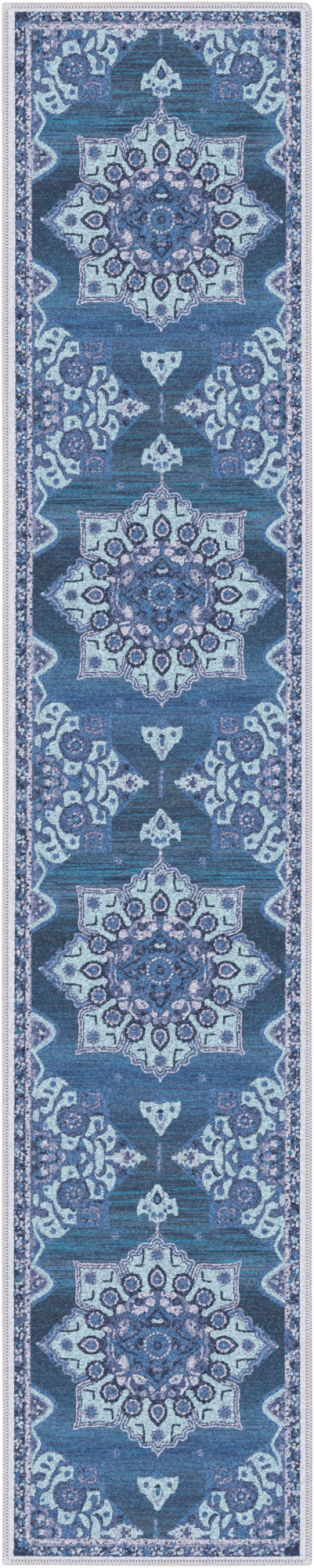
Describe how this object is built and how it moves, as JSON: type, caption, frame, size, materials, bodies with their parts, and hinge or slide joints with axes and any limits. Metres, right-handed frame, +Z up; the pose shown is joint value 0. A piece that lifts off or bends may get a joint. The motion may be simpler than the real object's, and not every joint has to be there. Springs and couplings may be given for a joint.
{
  "type": "runner rug",
  "caption": "Flat rectangular runner rug: woven face on a felt backing with a grip coat underneath, overlocked with yarn round all four edges.",
  "frame": {"origin": "middle of the rug's underside, on the floor", "axes": "+Y along the rug's length towards its head end, +X across its width, +Z up through the face"},
  "size_m": [0.605, 3.055, 0.0053],
  "materials": {
    "face_print": "woven, distressed blue and aqua medallion print",
    "latex_bond": "matt latex film",
    "backing_felt": "matt needled felt",
    "grip_coat": "matt rubber dots",
    "edge_yarn": "soft pale grey yarn",
    "seam_thread": "fine grey thread"
  },
  "bodies": {
    "root": {"face_cloth": "face_print", "bonding_latex": "latex_bond", "backing_cloth": "backing_felt", "grip_layer": "grip_coat", "upper_looper_yarn_left": "edge_yarn", "upper_looper_yarn_right": "edge_yarn", "upper_looper_yarn_head": "edge_yarn", "upper_looper_yarn_foot": "edge_yarn", "lower_looper_yarn_left": "edge_yarn", "lower_looper_yarn_right": "edge_yarn", "lower_looper_yarn_head": "edge_yarn", "lower_looper_yarn_foot": "edge_yarn", "needle_thread_left": "seam_thread", "needle_thread_right": "seam_thread", "needle_thread_head": "seam_thread", "needle_thread_foot": "seam_thread"}
  },
  "joints": []
}
